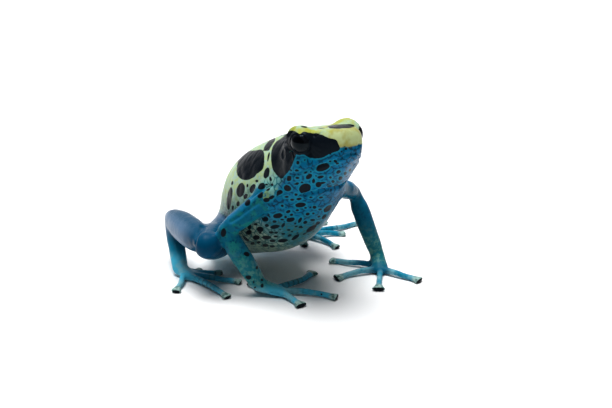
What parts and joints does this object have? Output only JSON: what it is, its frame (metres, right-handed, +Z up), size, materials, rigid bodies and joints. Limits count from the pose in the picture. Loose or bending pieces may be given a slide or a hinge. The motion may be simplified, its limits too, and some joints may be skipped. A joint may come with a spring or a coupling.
{
  "type": "poison dart frog figure",
  "caption": "Life-size still model of a small sitting poison dart frog with raised head, blotched yellow-green back, spotted blue throat and blue limbs.",
  "frame": {"origin": "centre of the bounding box, at the level of the floor under the digits", "axes": "+Z up, the frog faces -Y and its left side is +X"},
  "size_m": [0.0464, 0.0426, 0.0304],
  "materials": {
    "skin_back": "smooth moist skin, yellow-green with black blotches",
    "skin_throat": "smooth moist skin, blue with small black spots",
    "skin_limb": "smooth moist skin, teal blue with a pale sheen",
    "skin_digit": "smooth moist skin, pale teal with dark disc edges",
    "eye": "wet and clear, near black"
  },
  "bodies": {
    "root": {"torso": "skin_back", "head": "skin_back", "lower_jaw": "skin_throat", "eye_left": "eye", "eye_right": "eye", "upper_arm_left": "skin_limb", "upper_arm_right": "skin_limb", "forearm_left": "skin_limb", "forearm_right": "skin_limb", "hand_left": "skin_limb", "hand_right": "skin_limb", "thigh_left": "skin_limb", "thigh_right": "skin_limb", "shank_left": "skin_limb", "shank_right": "skin_limb", "tarsus_left": "skin_limb", "tarsus_right": "skin_limb", "foot_left": "skin_limb", "foot_right": "skin_limb", "finger_1_left": "skin_digit", "finger_2_left": "skin_digit", "finger_3_left": "skin_digit", "finger_4_left": "skin_digit", "finger_1_right": "skin_digit", "finger_2_right": "skin_digit", "finger_3_right": "skin_digit", "finger_4_right": "skin_digit", "toe_1_left": "skin_digit", "toe_2_left": "skin_digit", "toe_3_left": "skin_digit", "toe_4_left": "skin_digit", "toe_5_left": "skin_digit", "toe_1_right": "skin_digit", "toe_2_right": "skin_digit", "toe_3_right": "skin_digit", "toe_4_right": "skin_digit", "toe_5_right": "skin_digit"}
  },
  "joints": []
}
